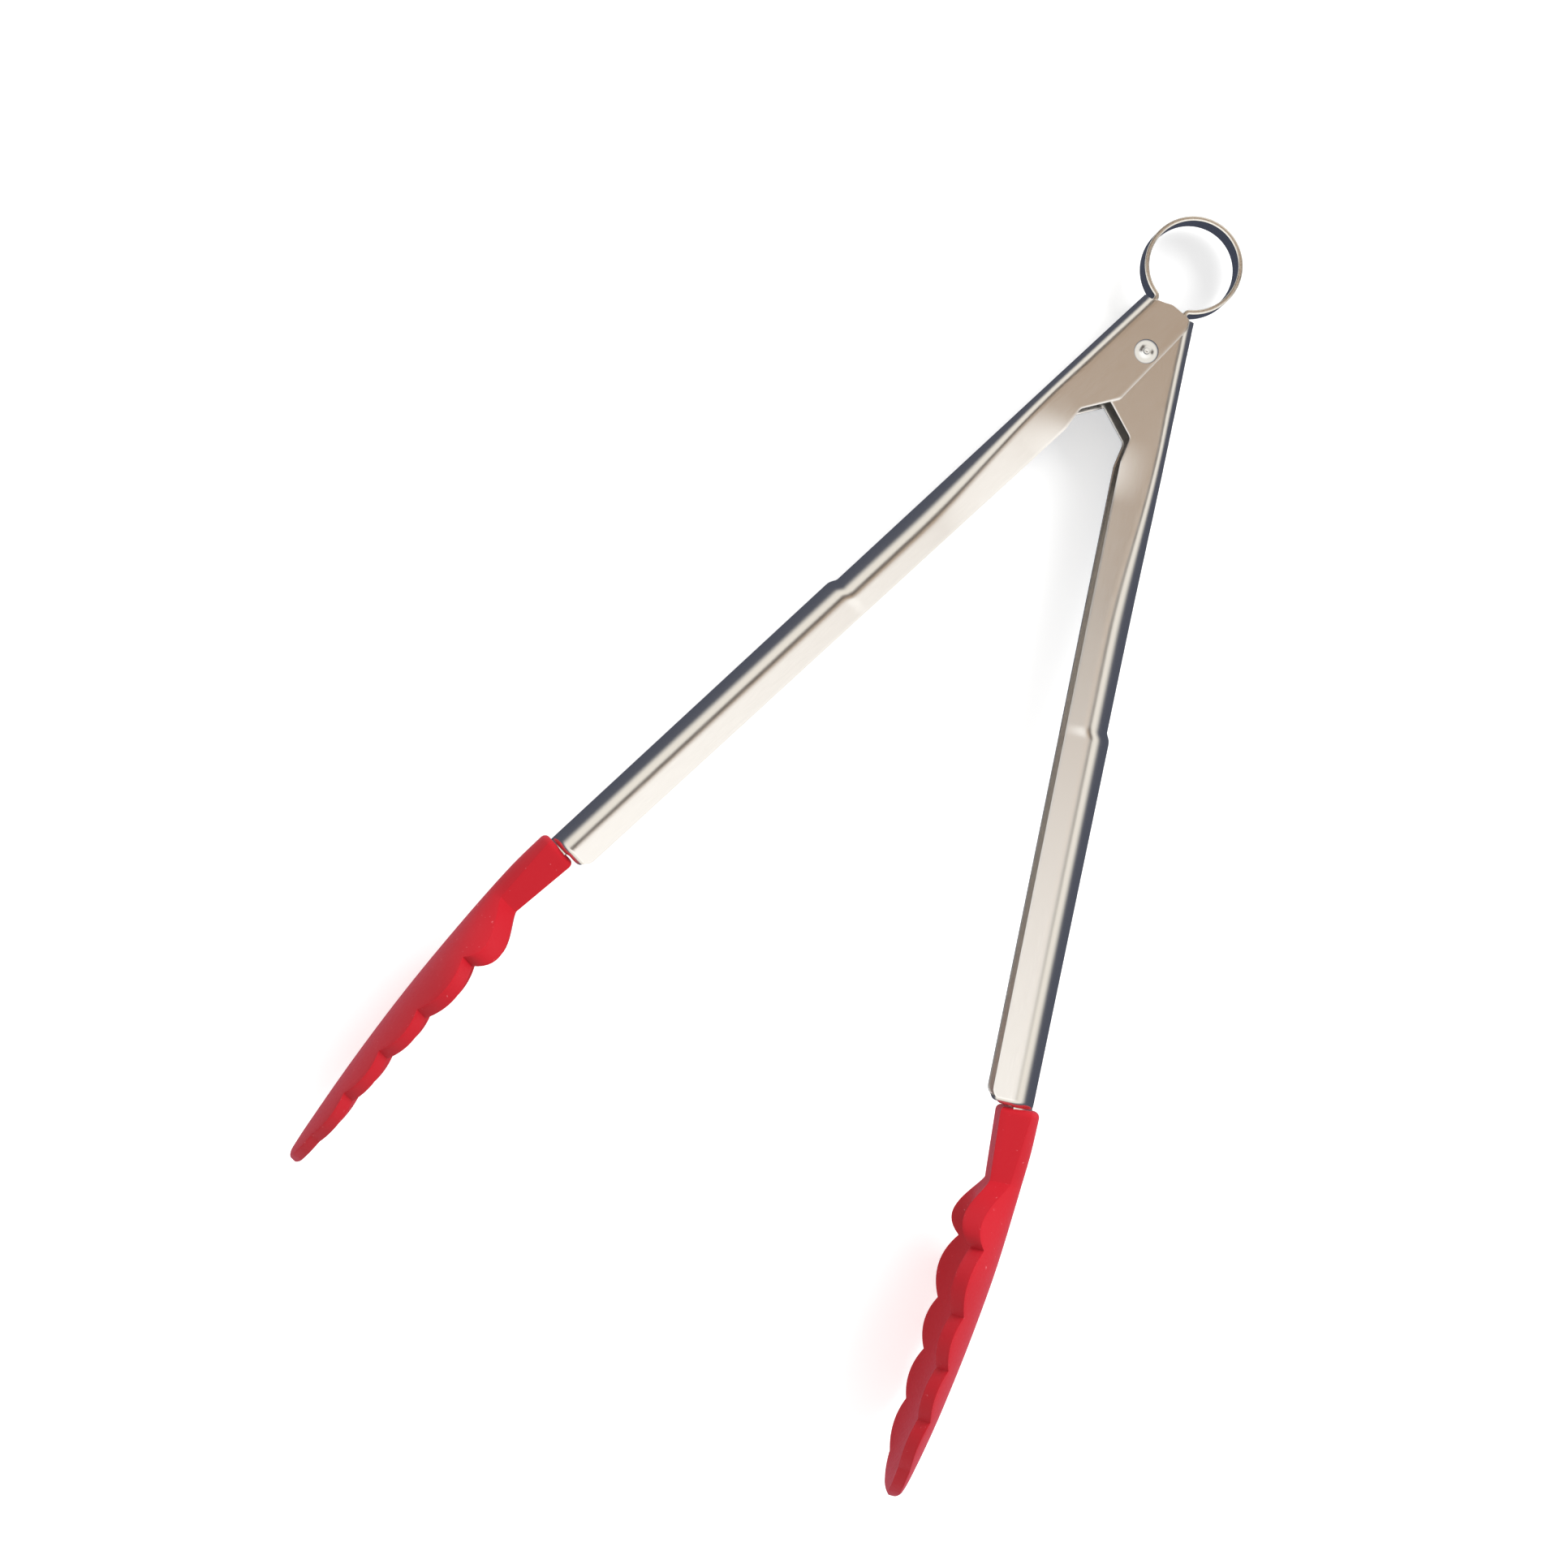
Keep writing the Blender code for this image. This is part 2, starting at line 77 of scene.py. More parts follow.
HALF_OPENING = math.radians(17.65)
GAP = 0.3 * MM
SHEET = 0.8 * MM
ARM_WIDTH = extent("inner_arm", 2)
PIVOT_WIDTH = extent("outer_arm", 2)
ARM_REACH = 176.6 * MM
WEB_BACK = 9.1 * MM
STEP_REACH, STEP_HEIGHT, STEP_RUN = 88.0 * MM, 0.9 * MM, 2.6 * MM
PIVOT_BEND, GRIP_BEND = 1.9 * MM, 5.0 * MM
BEND_FROM, BEND_TO = 20.0 * MM, 68.0 * MM
FLANGE_LEAN, LEAN_TO = 0.45 * MM, 36.0 * MM
FLANGE_EDGE, FLANGE_EDGE_END, FLANGE_CORNER = 0.5 * MM, -0.35 * MM, 2.8 * MM
TONGUE_LENGTH, TONGUE_WIDTH, TONGUE_BEND = 20.0 * MM, 9.6 * MM, 4.2 * MM
TONGUE_DEPTH, TONGUE_RISE = 2.7 * MM, 0.6 * MM
NECK_GAP = 1.1 * MM
TONGUE_END = ARM_REACH + TONGUE_LENGTH
TONGUE_LINE = -WEB_BACK - STEP_HEIGHT + TONGUE_DEPTH
print("arm widths in mm:", round(ARM_WIDTH / MM, 1), round(PIVOT_WIDTH / MM, 1))


# %% [markdown]
# ## Smooth curves
# Three small helpers draw nearly everything on the tongs. One eases between two sizes, one passes a smooth curve
# through a few points, and one rounds the corners of an outline, as a press tool does.

# %% Curve helpers
def ease(x, start, end):
    """0 before start, 1 after end, smooth between."""
    t = min(max((x - start) / (end - start), 0.0), 1.0)
    return t * t * (3 - 2 * t)


def through(points, x):
    """A smooth curve through (x, y) points, with level ends."""
    if x <= points[0][0]:
        return points[0][1]
    if x >= points[-1][0]:
        return points[-1][1]
    k = max(i for i in range(len(points) - 1) if points[i][0] <= x)

    def slope(i):
        low, high = points[max(i - 1, 0)], points[min(i + 1, len(points) - 1)]
        return (high[1] - low[1]) / (high[0] - low[0])

    (x0, y0), (x1, y1) = points[k], points[k + 1]
    run = x1 - x0
    t = (x - x0) / run
    return (
        (1 + 2 * t) * (1 - t) ** 2 * y0
        + t * (1 - t) ** 2 * run * slope(k)
        + t * t * (3 - 2 * t) * y1
        + t * t * (t - 1) * run * slope(k + 1)
    )


def straight(points, x):
    """Straight lines through (x, y) points."""
    for (x0, y0), (x1, y1) in zip(points, points[1:]):
        if x <= x1:
            return y0 + (y1 - y0) * max(x - x0, 0.0) / (x1 - x0)
    return points[-1][1]


def arc(centre, radius, start, end, steps):
    turns = [start + (end - start) * i / steps for i in range(steps + 1)]
    return [(centre[0] + radius * math.cos(t), centre[1] + radius * math.sin(t)) for t in turns]


def rounded_corner(before, corner, after, radius, steps=8):
    """The points of one rounded corner of an outline."""
    here = Vector(corner)
    back, on = (Vector(before) - here).normalized(), (Vector(after) - here).normalized()
    half = back.angle(on) / 2
    centre = here + (back + on).normalized() * radius / math.sin(half)
    start, end = here + back * radius / math.tan(half) - centre, here + on * radius / math.tan(half) - centre
    first = math.atan2(start.y, start.x)
    sweep = math.atan2(start.x * end.y - start.y * end.x, start.dot(end))
    return arc(centre, radius, first, first + sweep, steps)


def length_along(points):
    lengths = [0.0]
    for a, b in zip(points, points[1:]):
        lengths.append(lengths[-1] + math.dist(a, b))
    return lengths


print("a quarter arc has", len(arc((0, 0), 1, 0, math.pi / 2, 8)), "points")


# %% [markdown]
# ## Working on pieces
# A pressed or moulded skin is modelled from a grid: the grid is added with as many rows and columns as the shape
# needs, and each of its points is moved to its place on the skin. Modifiers then give it thickness and soft edges,
# and they are applied so that the piece is a plain mesh. The grid keeps its flat plan as a UV map, so that a finish
# can follow the length of the piece.

# %% Helpers that shape, thicken, soften and cut a piece
def shaped_grid(name, rows, columns, place):
    """A grid of rows and columns, each point moved to place(row, column)."""
    bpy.ops.object.select_all(action="DESELECT")
    bpy.ops.mesh.primitive_grid_add(x_subdivisions=columns - 1, y_subdivisions=rows - 1, size=1)
    piece = bpy.context.active_object
    piece.name = name
    for vert in piece.data.vertices:
        row = round((vert.co.y + 0.5) * (rows - 1))
        column = round((vert.co.x + 0.5) * (columns - 1))
        vert.co = place(row, column)
    return piece


def apply_modifier(piece, kind, **settings):
    bpy.ops.object.select_all(action="DESELECT")
    bpy.context.view_layer.objects.active = piece
    piece.select_set(True)
    bpy.ops.object.modifier_add(type=kind)
    modifier = piece.modifiers[-1]
    for key, value in settings.items():
        setattr(modifier, key, value)
    bpy.ops.object.modifier_apply(modifier=modifier.name)


def edit(piece, *steps):
    """Runs edit mode steps on everything in a piece."""
    bpy.ops.object.select_all(action="DESELECT")
    bpy.context.view_layer.objects.active = piece
    piece.select_set(True)
    bpy.ops.object.mode_set(mode="EDIT")
    for step in steps:
        bpy.ops.mesh.select_all(action="SELECT")
        step()
    bpy.ops.object.mode_set(mode="OBJECT")


def outwards(piece):
    edit(piece, lambda: bpy.ops.mesh.normals_make_consistent(inside=False))


def smooth(piece, degrees=30):
    bpy.ops.object.select_all(action="DESELECT")
    bpy.context.view_layer.objects.active = piece
    piece.select_set(True)
    bpy.ops.object.shade_smooth_by_angle(angle=math.radians(degrees))


def subtract(piece, cutter):
    apply_modifier(piece, "BOOLEAN", operation="DIFFERENCE", solver="EXACT", object=cutter)
    bpy.data.objects.remove(cutter)


def finish(piece, body, slot, *materials):
    piece.data.materials.clear()
    for material in materials:
        piece.data.materials.append(material)
    if body:
        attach(piece, body)
    print(piece.name, len(piece.data.polygons), "faces")


def arm_place(side):
    """From an arm's own frame to the whole. Side is 1 for the outer arm and -1 for the inner."""
    turn = Matrix.Rotation(-math.pi / 2 - side * HALF_OPENING, 4, "Z")
    mirror = Matrix.Diagonal((1, side, 1, 1))
    return Matrix.Translation(RIVET) @ turn @ mirror


print("the outer arm's end lies at", tuple(round(v, 3) for v in arm_place(1) @ Vector((ARM_REACH, 0, 0))))


# %% [markdown]
# ## The channel of the arms
# Each arm is one strip of stainless sheet, pressed into a channel: a web at the back and a flange on each side. The
# bend between them is tight at the rivet and wide along the grip, and a small step half way makes the web deeper.
# A section at any place is the path from the middle of the web, round the bend and up the flange, so the whole skin
# is made by walking a share of that path.

# %% The channel's section
WIDTH_FROM, WIDTH_TO = 24.3 * MM, 62.3 * MM
NECK_FROM, NECK_TO = ARM_REACH - 0.6 * MM, ARM_REACH + NECK_GAP - GAP


def channel_size(u, pivot_width):
    """(half width, bend radius, back) of the channel at u."""
    neck = ease(u, NECK_FROM, NECK_TO)
    width = pivot_width + (ARM_WIDTH - pivot_width) * ease(u, WIDTH_FROM, WIDTH_TO)
    width += (TONGUE_WIDTH - width) * neck
    bend = PIVOT_BEND + (GRIP_BEND - PIVOT_BEND) * ease(u, BEND_FROM, BEND_TO)
    bend += (TONGUE_BEND - bend) * neck
    back = WEB_BACK + STEP_HEIGHT * ease(u, STEP_REACH, STEP_REACH + STEP_RUN)
    back -= TONGUE_RISE * ease(u, NECK_TO, TONGUE_END)
    return width / 2, bend, back


def channel_point(u, edge, share, pivot_width):
    """(v, z) at a share of the way from the web's middle to the flange's edge. Below 0 it is on the -z side."""
    half, bend, back = channel_size(u, pivot_width)
    bend_end = bend - back
    turn = math.pi / 2 if edge >= bend_end else math.acos(min((bend_end - edge) / bend, 1.0))
    flat = half - bend
    flange = max(edge - bend_end, 0.0)
    path = abs(share) * (flat + bend * turn + flange)
    if path < flat:
        v, z = -back, path
    elif path < flat + bend * turn:
        angle = (path - flat) / bend
        v, z = bend_end - bend * math.cos(angle), flat + bend * math.sin(angle)
    else:
        v = bend_end + path - flat - bend * turn
        lean = FLANGE_LEAN * ease(u, BEND_FROM, LEAN_TO)
        z = half - lean * (v - bend_end) / (FLANGE_EDGE - bend_end)
    return v, math.copysign(z, share)


print("half the grip's width:", round(channel_size(0.12, ARM_WIDTH)[0] / MM, 2), "mm")

# %% [markdown]
# ## The outline of an arm
# The strip was cut before it was bent. Seen from the side, its ear is cut back where it meets the other arm's web,
# grows to a lobe beside the rivet, dips to a waist, and then runs level to the rounded end of the flange. Past the
# flange only the middle of the web goes on, as a tongue inside the head.

# %% The edge of the flange
EAR_TOP, EAR_SHOULDER, EAR_SHOULDER_BACK = 12.5 * MM, 11.9 * MM, 3.7 * MM
EAR_CLEARANCE, EAR_SIDE, WEB_TOP = 0.5 * MM, 2.9 * MM, 9.2 * MM
LOBE_REACH, OUTER_LOBE_SIDE, INNER_LOBE_SIDE = 11.9 * MM, 4.1 * MM, 6.6 * MM
WAIST_REACH, WAIST_DIP, WAIST_END = 20.3 * MM, 0.6 * MM, 26.0 * MM


def arm_edges(reach, lobe_side):
    """(start, edge): the ear's end from the web's top to its corner, and the flange's edge from there on."""
    opening = 2 * HALF_OPENING
    ear_corner = (-EAR_TOP, (-EAR_TOP * math.sin(opening) + reach) / math.cos(opening))
    side_corner = ((EAR_SIDE * math.cos(opening) - reach) / math.sin(opening), EAR_SIDE)
    corners = [
        ((-WEB_TOP, -WEB_BACK + SHEET + GAP), 0),
        ((-EAR_SHOULDER, -EAR_SHOULDER_BACK), 3 * MM),
        (ear_corner, 1.2 * MM),
        (side_corner, 3 * MM),
        ((LOBE_REACH, lobe_side), 1.6 * MM),
        ((WAIST_REACH, -WAIST_DIP), 1.8 * MM),
        ((WAIST_END, FLANGE_EDGE), 5 * MM),
        ((ARM_REACH, FLANGE_EDGE_END), FLANGE_CORNER),
        ((ARM_REACH, TONGUE_LINE), 0.4 * MM),
        ((TONGUE_END, TONGUE_LINE), 0),
    ]
    points = [corners[0][0]]
    for before, (corner, radius), after in zip(corners, corners[1:], corners[2:]):
        points += rounded_corner(before[0], corner, after[0], radius)
    points.append(corners[-1][0])
    split = 1 + 9 + 4
    return points[: split + 1], points[split:]


def spaced(points):
    """The same line with points close together at the ear, and further apart along the grip."""
    line = [points[0]]
    for a, b in zip(points, points[1:]):
        room = 0.5 * MM if a[0] < 28 * MM or a[0] > ARM_REACH - 6 * MM else 1.3 * MM
        count = max(1, math.ceil(math.dist(a, b) / room))
        line += [(a[0] + (b[0] - a[0]) * i / count, a[1] + (b[1] - a[1]) * i / count) for i in range(1, count + 1)]
    return line


start, edge = arm_edges(WEB_BACK - SHEET, OUTER_LOBE_SIDE)
print(len(spaced(edge)), "rows along an arm")

# %% [markdown]
# ## The arms
# The skin is drawn first, then thickened inwards by the sheet, and its cut edges are broken with a small bevel, as
# the tumbled edges of real sheet are: they catch a thin line of light. The rivet's hole is drilled last.

# %% Make the two arms
HALF_COLUMNS = 26
FADE = 5 * MM
EDGE_BREAK = 0.24 * MM


def make_arm(name, side, pivot_width, reach, lobe_side):
    start, edge = arm_edges(reach, lobe_side)
    edge = spaced(edge)
    along = length_along(edge)
    total = along[-1]
    drop = next(i for i, point in enumerate(edge) if point[0] > ARM_REACH - FLANGE_CORNER)
    after = next(i for i, point in enumerate(edge) if point[0] > ARM_REACH + 1 * MM)
    web = [(0.0, -WEB_TOP), (along[40], edge[40][0]), (along[drop] - 4 * MM, edge[drop][0] - 4 * MM)]
    web += [(along[after], edge[after][0] + 1.5 * MM), (total, TONGUE_END)]
    start_line = sorted((v, u) for u, v in start)
    place = arm_place(side)

    def point(row, column):
        share = (column - HALF_COLUMNS) / HALF_COLUMNS
        edge_u, edge_v = edge[row]
        web_u = straight(web, along[row])
        u = web_u + (edge_u - web_u) * abs(share)
        first_v = channel_point(-EAR_SHOULDER, edge[0][1], share, pivot_width)[0]
        first_u = -WEB_TOP + (edge[0][0] + WEB_TOP) * abs(share)
        u += (straight(start_line, first_v) - first_u) * math.exp(-((along[row] / FADE) ** 2))
        v, z = channel_point(u, edge_v, share, pivot_width)
        return place @ Vector((u, v, z))

    arm = shaped_grid(name, len(edge), 2 * HALF_COLUMNS + 1, point)
    outwards(arm)
    middle = arm.data.polygons[len(arm.data.polygons) // 2]
    web_way = place.to_3x3() @ Vector((0, -1, 0))
    if middle.normal.dot(web_way) < 0:
        edit(arm, bpy.ops.mesh.flip_normals)
    apply_modifier(arm, "SOLIDIFY", thickness=SHEET, offset=-1, use_quality_normals=True)
    apply_modifier(
        arm, "BEVEL", width=EDGE_BREAK, segments=3, limit_method="ANGLE", angle_limit=math.radians(50)
    )
    bpy.ops.mesh.primitive_cylinder_add(vertices=48, radius=2.3 * MM, depth=0.03, location=RIVET)
    subtract(arm, bpy.context.active_object)
    smooth(arm, 40)
    return arm


inside_bend = PIVOT_BEND - SHEET
bend_clear = math.sqrt(inside_bend**2 - (inside_bend - GAP) ** 2)
outer_arm = make_arm("outer_arm_sheet", 1, PIVOT_WIDTH, WEB_BACK - SHEET, OUTER_LOBE_SIDE)
inner_arm = make_arm(
    "inner_arm_sheet", -1, ARM_WIDTH, WEB_BACK - PIVOT_BEND + bend_clear - EAR_CLEARANCE, INNER_LOBE_SIDE
)
print("arms have", len(outer_arm.data.polygons), "and", len(inner_arm.data.polygons), "faces")

# %% [markdown]
# ## The heads
# A head is moulded in silicone over the tongue of its arm. From the side its back is one long curve, and its rim
# rises and falls in lobes that lock with those of the other head. From above it is a paddle. One closed section is
# drawn for each place along it: under the scoop, over the rim's face, and down inside the hollow.

# %% The head's lines
HEAD_START = ARM_REACH + NECK_GAP
HEAD_LENGTH = 93.9 * MM
SCOOP_WIDTH = 47.5 * MM
NECK_WIDTH, SCOOP_WALL, RIM_INSET, SHOULDER_LENGTH = 12.6 * MM, 3.6 * MM, 2.8 * MM, 16.0 * MM
LOBE_ENDS = (0.0, 0.186, 0.349, 0.515, 0.649, 0.780, 0.910, 1.0)
KINK_LEAN = 1.35
RIM_TOP = [v * MM for v in (-3.0, -3.9, -1.6, -0.1, 0.7, 2.4, 4.1, 4.4)]
RIM_TOP_RISE = [v * MM for v in (0.0, 3.6, 2.0, 1.4, 1.1, 0.8, 0.2)]
RIM_BOTTOM = [v * MM for v in (-10.6, -8.8, -4.6, -2.9, -1.9, -0.3, 1.6, 2.0)]
RIM_BOTTOM_RISE = [v * MM for v in (0.0, 3.1, 1.8, 1.4, 1.1, 0.8, 0.2)]
BACK_PLACES = ((0, -12.8), (0.12, -12.5), (0.31, -10.7), (0.52, -8.0), (0.72, -4.6), (0.92, -0.5), (1, 1.4))
BACK_LINE = [(share, v * MM) for share, v in BACK_PLACES]
PADDLE_LINE = ((0.21, 0.92), (0.42, 1.0), (0.70, 1.0))
FLARE = 3


def lobed(share, ends, rises):
    """(edge, crown line): the rim with its lobes, and the smooth line that joins their crowns."""
    k = max(i for i in range(len(rises)) if LOBE_ENDS[i] <= share)
    t = (share - LOBE_ENDS[k]) / (LOBE_ENDS[k + 1] - LOBE_ENDS[k])
    chord = ends[k] + (ends[k + 1] - ends[k]) * t
    middles = [(a + b) / 2 for a, b in zip(LOBE_ENDS[1:], LOBE_ENDS[2:])]
    crowns = [(LOBE_ENDS[1], 0.0)] + list(zip(middles, rises[1:]))
    lean = t**KINK_LEAN if k == 1 else t
    edge = chord + rises[k] * 4 * lean * (1 - lean)
    return edge, max(edge, chord + through(crowns, share))


def paddle_half_width(share):
    kink = LOBE_ENDS[1]
    past = max((share - kink) / (1 - kink), 0.0)
    line = ((0.0, NECK_WIDTH / SCOOP_WIDTH),) + PADDLE_LINE
    round_from = PADDLE_LINE[-1][0]
    round_share = max(past - round_from, 0.0) / (1 - round_from)
    return through(line, past) * math.sqrt(1 - 0.99 * round_share**2) * SCOOP_WIDTH / 2


print("widest part of the scoop:", round(2 * paddle_half_width(0.6) / MM, 1), "mm")

# %% [markdown]
# ## Sections of a head
# The wall of the scoop turns up more and more sharply towards the rim, so its line across is a cubic. The rim's face
# leans inwards and keeps its edges crisp, and both ends of the head are drawn in to round them.

# %% One section of a head
HALF_STEPS = 16


def head_section(share, squeeze=1.0):
    kink, tip = LOBE_ENDS[1], LOBE_ENDS[-2]
    past_kink = (share - kink) * HEAD_LENGTH
    outer = paddle_half_width(share)
    inner = outer - min(RIM_INSET * ease(past_kink, 0, SHOULDER_LENGTH * 0.6), outer * 0.45)
    back = through(BACK_LINE, share)
    top, top_crown = lobed(share, RIM_TOP, RIM_TOP_RISE)
    bottom, bottom_crown = lobed(share, RIM_BOTTOM, RIM_BOTTOM_RISE)
    hollow = ease(past_kink, 0, SHOULDER_LENGTH) * (1 - ease(share, tip - 0.02, 0.985))
    depth = max(top - back - SCOOP_WALL, 0.0) * hollow
    floor = top - depth
    outer *= ((bottom - back) / (bottom_crown - back)) ** (1 / FLARE)
    if depth > 0:
        inner *= 1 - hollow * (1 - (depth / (top_crown - floor)) ** (1 / FLARE))
    steps = [i / HALF_STEPS for i in range(HALF_STEPS + 1)]
    under = [(back + (bottom - back) * q**FLARE, outer * q) for q in steps]
    face = [(bottom + (top - bottom) * q, outer + (inner - outer) * q) for q in (0.25, 0.5, 0.75)]
    inside = [(floor + (top - floor) * q**FLARE, inner * q) for q in reversed(steps)]
    half = under + face + inside
    middle = (back + top) / 2
    loop = half + [(v, -z) for v, z in half[-2:0:-1]]
    u = HEAD_START + share * HEAD_LENGTH
    return [Vector((u, middle + (v - middle) * squeeze, z * squeeze)) for v, z in loop]


def head_sections():
    neck_round, tip_round = 1.5 * MM, 2.2 * MM
    sections = []
    for i in range(7):
        turn = math.pi / 2 * i / 6
        inset = neck_round * (1 - math.sin(turn)) / (5.5 * MM)
        sections.append(head_section(neck_round * (1 - math.cos(turn)) / HEAD_LENGTH, 1 - inset))
    sections += [head_section(share) for share in (0.03, 0.05, 0.08, 0.11, 0.14, 0.165)]
    for first, last in zip(LOBE_ENDS[1:-2], LOBE_ENDS[2:-1]):
        sections += [head_section(first + (last - first) * i / 16) for i in range(16)]
    last = LOBE_ENDS[-2]
    end = 1 - tip_round / HEAD_LENGTH
    sections += [head_section(last + (end - last) * i / 12) for i in range(12)]
    for i in range(8):
        turn = math.pi / 2 * i / 8
        sections.append(head_section(end + (1 - end) * math.sin(turn), 0.35 + 0.65 * math.cos(turn)))
    return sections


sections = head_sections()
print(len(sections), "sections of", len(sections[0]), "points")

# %% [markdown]
# ## Make the heads
# The sections are laid on a grid whose last column meets its first. The seam is merged and the two ends are closed.
# The rim's edges then get a small bevel. The tongue's slot is cut with a body made the same way, from the tongue's
# own section grown by the gap on every side.

# %% Make the two heads
RIM_BREAK = 0.3 * MM


def closed_body(name, side, sections):
    """A solid with the given closed sections along it, its two ends filled in."""
    place = arm_place(side)
    loops = [[place @ point for point in section] for section in sections]
    count = len(loops[0])
    body = shaped_grid(name, len(loops), count + 1, lambda row, column: loops[row][column % count])
    edit(body, lambda: bpy.ops.mesh.remove_doubles(threshold=0.00001))
    bpy.ops.object.mode_set(mode="EDIT")
    bpy.ops.mesh.select_all(action="DESELECT")
    bpy.ops.mesh.select_non_manifold(extend=False)
    bpy.ops.mesh.edge_face_add()
    bpy.ops.object.mode_set(mode="OBJECT")
    outwards(body)
    return body


def slot_section(u, steps=20):
    """The tongue's section, grown by the gap: along the outside of the sheet, then back along its inside."""
    loop = []
    for depth, way in ((-GAP, 1), (SHEET + GAP, -1)):
        for i in range(-steps, steps + 1):
            share = way * i / steps
            here = Vector(channel_point(u, TONGUE_LINE + GAP, share, ARM_WIDTH))
            ahead = Vector(channel_point(u, TONGUE_LINE + GAP, min(share + 0.01, 1), ARM_WIDTH))
            behind = Vector(channel_point(u, TONGUE_LINE + GAP, max(share - 0.01, -1), ARM_WIDTH))
            run = (ahead - behind).normalized()
            v, z = here + Vector((run.y, -run.x)) * depth
            loop.append(Vector((u, v, z)))
    return loop


def make_head(name, side):
    head = closed_body(name, side, head_sections())
    apply_modifier(
        head, "BEVEL", width=RIM_BREAK, segments=3, limit_method="ANGLE", angle_limit=math.radians(34)
    )
    first, last = HEAD_START - SHEET, TONGUE_END + GAP
    slot = [slot_section(first + (last - first) * i / 24) for i in range(25)]
    subtract(head, closed_body(name + "_slot", side, slot))
    smooth(head, 35)
    return head


outer_head = make_head("outer_head_silicone", 1)
inner_head = make_head("inner_head_silicone", -1)
print("heads have", len(outer_head.data.polygons), "and", len(inner_head.data.polygons), "faces")

# %% [markdown]
# ## The rivet
# One solid rivet goes through both pairs of ears. Its ends were formed over to low domes, each with the small dimple
# that the forming tool leaves. A turned shape is drawn as half of its outline and spun about its axis.

# %% Make the rivet
SHANK_RADIUS = 2.0 * MM
HEAD_RADIUS, HEAD_HEIGHT = 3.2 * MM, 1.3 * MM
DIMPLE_RADIUS, DIMPLE_DEPTH = 0.8 * MM, 0.3 * MM


def rivet_outline():
    seat = extent("pivot_rivet", 2) / 2 - HEAD_HEIGHT
    top = seat + HEAD_HEIGHT
    half = [(0, top - DIMPLE_DEPTH)]
    half += [(DIMPLE_RADIUS * t, top - DIMPLE_DEPTH * (1 - t * t)) for t in (0.3, 0.6, 0.85, 1.0)]
    first = math.acos(DIMPLE_RADIUS / HEAD_RADIUS)
    half += [(HEAD_RADIUS * x, seat + HEAD_HEIGHT * y) for x, y in arc((0, 0), 1, first, 0.0, 14)][1:]
    half += [(HEAD_RADIUS, seat), (SHANK_RADIUS, seat)]
    return half + [(radius, -height) for radius, height in reversed(half)]


mesh = bpy.data.meshes.new("rivet_outline")
outline = [RIVET + Vector((radius, 0, height)) for radius, height in rivet_outline()]
mesh.from_pydata(outline, [(i, i + 1) for i in range(len(outline) - 1)], [])
rivet = bpy.data.objects.new("pivot_rivet_turned", mesh)
bpy.context.collection.objects.link(rivet)
edit(
    rivet,
    lambda: bpy.ops.mesh.spin(steps=64, angle=2 * math.pi, center=RIVET, axis=(0, 0, 1)),
    lambda: bpy.ops.mesh.remove_doubles(threshold=0.00001),
)
outwards(rivet)
smooth(rivet, 40)
print("rivet has", len(rivet.data.polygons), "faces")

# %% [markdown]
# ## The ring spring
# The spring is a flat band of spring steel. Its two legs lie inside the arms' webs, and between them it is rolled
# into the ring that the tongs hang by. The band's middle line is drawn once, each point of it is widened to the band,
# and the sheet is thickened and its edges broken.

# %% The band's middle line
BAND_SHEET = 1.1 * MM
BAND_WIDTH = extent("ring_spring", 2)
RING_RADIUS = extent("ring_spring", 0) / 2
RING_CENTRE = 23.6 * MM
FOOT_BEND, LEG_LENGTH = 1.2 * MM, 17.0 * MM
RING_STEPS = 180


def ring_path():
    turn = HALF_OPENING
    middle = RING_RADIUS - BAND_SHEET / 2
    leg = -WEB_BACK + SHEET + GAP + BAND_SHEET / 2
    u_ring, v_ring = -RING_CENTRE * math.cos(turn), -RING_CENTRE * math.sin(turn)
    v_foot = leg - FOOT_BEND
    u_foot = u_ring + math.sqrt((middle + FOOT_BEND) ** 2 - (v_foot - v_ring) ** 2)
    towards = math.atan2(v_ring - v_foot, u_ring - u_foot) % (2 * math.pi)
    leg_line = [(u_foot + LEG_LENGTH * (1 - i / 12), leg) for i in range(12)]
    half = leg_line + arc((u_foot, v_foot), FOOT_BEND, math.pi / 2, towards, 12)
    u_axis, v_axis = Vector((-math.sin(turn), -math.cos(turn))), Vector((math.cos(turn), -math.sin(turn)))
    left = [u_axis * u + v_axis * v for u, v in half]
    begin = left[-1] - Vector((0, RING_CENTRE))
    first = math.atan2(begin.y, begin.x)
    first -= 2 * math.pi if first > 0 else 0
    ring = arc((0, RING_CENTRE), middle, first, -3 * math.pi - first, RING_STEPS)
    right = [(-point.x, point.y) for point in reversed(left)]
    return [tuple(point) for point in left[:-1]] + ring + right[1:]


path = ring_path()
print("the band is", round(length_along(path)[-1] / MM, 1), "mm long")

# %% [markdown]
# ## The two halves of the spring
# When the tongs close, the legs swing apart above the rivet and the ring opens a little. So the finished band is cut
# in two at the top of the ring.

# %% Make the ring and its two halves
def band_point(row, column):
    x, y = path[row]
    return RIVET + Vector((x, y, BAND_WIDTH * (column / 8 - 0.5)))


